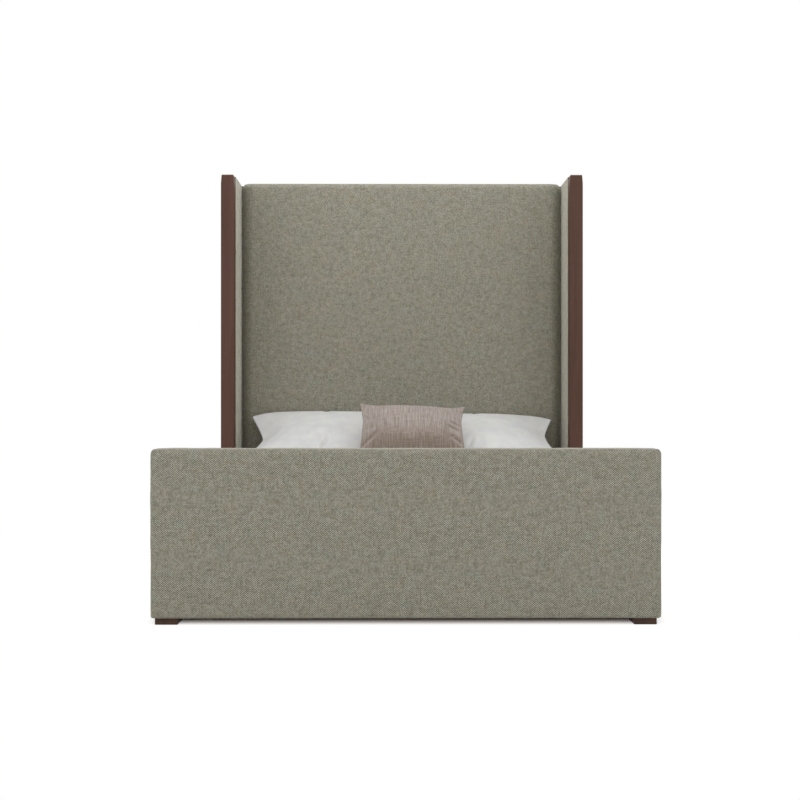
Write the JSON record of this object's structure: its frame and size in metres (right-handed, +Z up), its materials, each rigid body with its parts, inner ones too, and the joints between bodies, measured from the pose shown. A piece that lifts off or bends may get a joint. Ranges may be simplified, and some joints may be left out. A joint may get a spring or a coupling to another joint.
{
  "type": "upholstered wingback double bed",
  "caption": "Upholstered double bed with a tall padded headboard between timber-edged wings, a panel footboard, hook-on side rails, slats and mattress.",
  "frame": {"origin": "centre of the footprint, on the floor", "axes": "+Z up, +Y from the foot end to the head end, +X to the right seen from the foot end"},
  "size_m": [1.66, 2.319, 1.766],
  "materials": {
    "upholstery": "grey-green tweed weave",
    "dark_wood": "dark brown satin stain",
    "softwood": "planed, unfinished",
    "plywood": "unfinished plywood",
    "slat_wood": "planed, unfinished",
    "steel_plate": "zinc plated",
    "zinc_screws": "zinc plated",
    "black_steel": "black powder coat",
    "nylon": "moulded nylon",
    "black_nylon": "moulded nylon",
    "strap_webbing": "woven strap",
    "ticking": "quilted ticking",
    "white_cotton": "smooth cotton",
    "taupe_linen": "slub linen"
  },
  "bodies": {
    "bed": {"footboard_posts": "softwood", "footboard_planks": "softwood", "footboard_front_board": "plywood", "footboard_back_board": "plywood", "footboard_cover": "upholstery", "front_foot_left": "dark_wood", "front_foot_right": "dark_wood", "wing_foot_left": "dark_wood", "wing_foot_right": "dark_wood", "rear_foot_left": "dark_wood", "rear_foot_right": "dark_wood", "foot_screws": "zinc_screws", "headboard_stiles": "softwood", "headboard_rails": "softwood", "headboard_front_board": "plywood", "headboard_back_board": "plywood", "headboard_back_cover": "upholstery", "headboard_cushion": "upholstery", "wing_board_left": "softwood", "wing_board_right": "softwood", "wing_cover_left": "upholstery", "wing_cover_right": "upholstery", "wing_post_left": "dark_wood", "wing_post_right": "dark_wood", "wing_bolts": "zinc_screws", "rail_board_left": "softwood", "rail_board_right": "softwood", "rail_cover_left": "upholstery", "rail_cover_right": "upholstery", "rail_hook_plates": "steel_plate", "rail_slot_plates": "steel_plate", "plate_screws": "zinc_screws", "ledger_left": "softwood", "ledger_right": "softwood", "wing_ledger_left": "softwood", "wing_ledger_right": "softwood", "ledger_screws": "zinc_screws", "slats": "slat_wood", "slat_straps": "strap_webbing", "centre_beam": "slat_wood", "beam_brackets": "steel_plate", "bracket_screws": "zinc_screws", "centre_leg_front": "black_steel", "centre_leg_middle": "black_steel", "centre_leg_rear": "black_steel", "leg_inserts": "nylon", "leg_screws": "zinc_screws", "mattress": "ticking", "pillow_left": "white_cotton", "pillow_right": "white_cotton", "lumbar_cushion": "taupe_linen"},
    "glide_front": {"glide_stud_front": "zinc_screws", "glide_foot_front": "black_nylon"},
    "glide_middle": {"glide_stud_middle": "zinc_screws", "glide_foot_middle": "black_nylon"},
    "glide_rear": {"glide_stud_rear": "zinc_screws", "glide_foot_rear": "black_nylon"}
  },
  "joints": [
    {"name": "glide_front_height", "type": "slide", "parent": "bed", "child": "glide_front", "axis": [0, 0, 1], "range_m": [-0.008, 0.0117]},
    {"name": "glide_middle_height", "type": "slide", "parent": "bed", "child": "glide_middle", "axis": [0, 0, 1], "range_m": [-0.008, 0.0117]},
    {"name": "glide_rear_height", "type": "slide", "parent": "bed", "child": "glide_rear", "axis": [0, 0, 1], "range_m": [-0.008, 0.0117]}
  ]
}
